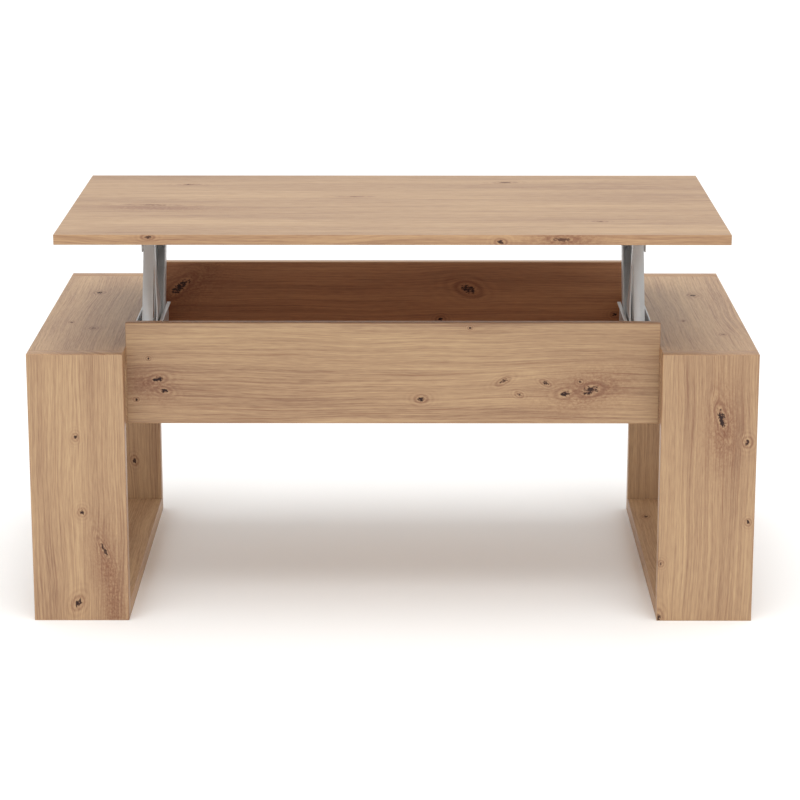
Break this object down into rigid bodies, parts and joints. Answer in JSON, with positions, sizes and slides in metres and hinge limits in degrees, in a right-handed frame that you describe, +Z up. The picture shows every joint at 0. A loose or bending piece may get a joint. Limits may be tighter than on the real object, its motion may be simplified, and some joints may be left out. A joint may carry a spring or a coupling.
{
  "type": "lift top coffee table",
  "caption": "Knotty oak coffee table with open loop board legs, a storage box and a top that lifts up and forward on two pairs of parallel steel arms.",
  "frame": {"origin": "on the floor under the middle of the whole table with its top raised, as it is at rest", "axes": "+Z up, -Y to the front, where the raised top comes out, +X to the right seen from the front"},
  "size_m": [1.1, 0.6628, 0.6141],
  "materials": {
    "oak_board": "matt embossed oak melamine",
    "beech": "raw turned beech",
    "lift_steel": "satin silver-grey powder coat",
    "zinc_fitting": "zinc plated",
    "rivet_steel": "bright zinc plated",
    "nylon": "moulded nylon",
    "strut_black": "semi-gloss black paint",
    "rod_chrome": "polished hard chrome",
    "bumper_clear": "soft translucent bumper"
  },
  "bodies": {
    "base": {"left_leg_front": "oak_board", "left_leg_back": "oak_board", "left_leg_top": "oak_board", "left_leg_foot": "oak_board", "left_leg_dowels": "beech", "left_leg_cams": "zinc_fitting", "left_leg_bolts": "zinc_fitting", "right_leg_front": "oak_board", "right_leg_back": "oak_board", "right_leg_top": "oak_board", "right_leg_foot": "oak_board", "right_leg_dowels": "beech", "right_leg_cams": "zinc_fitting", "right_leg_bolts": "zinc_fitting", "front_apron": "oak_board", "back_apron": "oak_board", "left_box_side": "oak_board", "right_box_side": "oak_board", "box_bottom": "oak_board", "box_dowels": "beech", "box_cams": "zinc_fitting", "box_bolts": "zinc_fitting", "left_lift_base": "lift_steel", "left_base_screws": "zinc_fitting", "left_base_rivets": "rivet_steel", "left_base_bushes": "nylon", "left_stop_pin": "rivet_steel", "left_strut_tube": "strut_black", "left_strut_anchor": "rivet_steel", "right_lift_base": "lift_steel", "right_base_screws": "zinc_fitting", "right_base_rivets": "rivet_steel", "right_base_bushes": "nylon", "right_stop_pin": "rivet_steel", "right_strut_tube": "strut_black", "right_strut_anchor": "rivet_steel"},
    "top": {"table_top": "oak_board", "bumpers": "bumper_clear", "left_top_bracket": "lift_steel", "left_bracket_screws": "zinc_fitting", "left_top_rivets": "rivet_steel", "left_top_bushes": "nylon", "right_top_bracket": "lift_steel", "right_bracket_screws": "zinc_fitting", "right_top_rivets": "rivet_steel", "right_top_bushes": "nylon"},
    "left_front_arm": {"left_front_arm": "lift_steel"},
    "left_rear_arm": {"left_rear_arm": "lift_steel"},
    "left_strut_rod": {"left_strut_rod": "rod_chrome", "left_strut_pin": "rivet_steel"},
    "right_front_arm": {"right_front_arm": "lift_steel"},
    "right_rear_arm": {"right_rear_arm": "lift_steel"},
    "right_strut_rod": {"right_strut_rod": "rod_chrome", "right_strut_pin": "rivet_steel"}
  },
  "joints": [
    {"name": "lift", "type": "hinge", "parent": "base", "child": "left_front_arm", "pos_m": [-0.385, -0.04659, 0.412], "axis": [1, 0, 0], "range_deg": [-60, 0]},
    {"name": "top_level", "type": "hinge", "parent": "left_front_arm", "child": "top", "pos_m": [-0.385, 0.02235, 0.57285], "axis": [1, 0, 0], "range_deg": [0, 60]},
    {"name": "right_front_arm_turn", "type": "hinge", "parent": "base", "child": "right_front_arm", "pos_m": [0.385, -0.04659, 0.412], "axis": [1, 0, 0], "range_deg": [-60, 0]},
    {"name": "left_rear_arm_turn", "type": "hinge", "parent": "base", "child": "left_rear_arm", "pos_m": [-0.379, 0.04942, 0.372], "axis": [1, 0, 0], "range_deg": [-60, 0]},
    {"name": "right_rear_arm_turn", "type": "hinge", "parent": "base", "child": "right_rear_arm", "pos_m": [0.379, 0.04942, 0.372], "axis": [1, 0, 0], "range_deg": [-60, 0]},
    {"name": "left_strut_slide", "type": "slide", "parent": "base", "child": "left_strut_rod", "axis": [0, 1, 0], "range_m": [-0.0525, 0]},
    {"name": "right_strut_slide", "type": "slide", "parent": "base", "child": "right_strut_rod", "axis": [0, 1, 0], "range_m": [-0.0525, 0]}
  ],
  "couplings": [
    {"joint": "top_level", "follows": "lift", "ratio": -1},
    {"joint": "right_front_arm_turn", "follows": "lift", "ratio": 1},
    {"joint": "left_rear_arm_turn", "follows": "lift", "ratio": 1},
    {"joint": "right_rear_arm_turn", "follows": "lift", "ratio": 1},
    {"joint": "left_strut_slide", "follows": "lift", "m_per_rad": 0.05},
    {"joint": "right_strut_slide", "follows": "lift", "m_per_rad": 0.05}
  ]
}
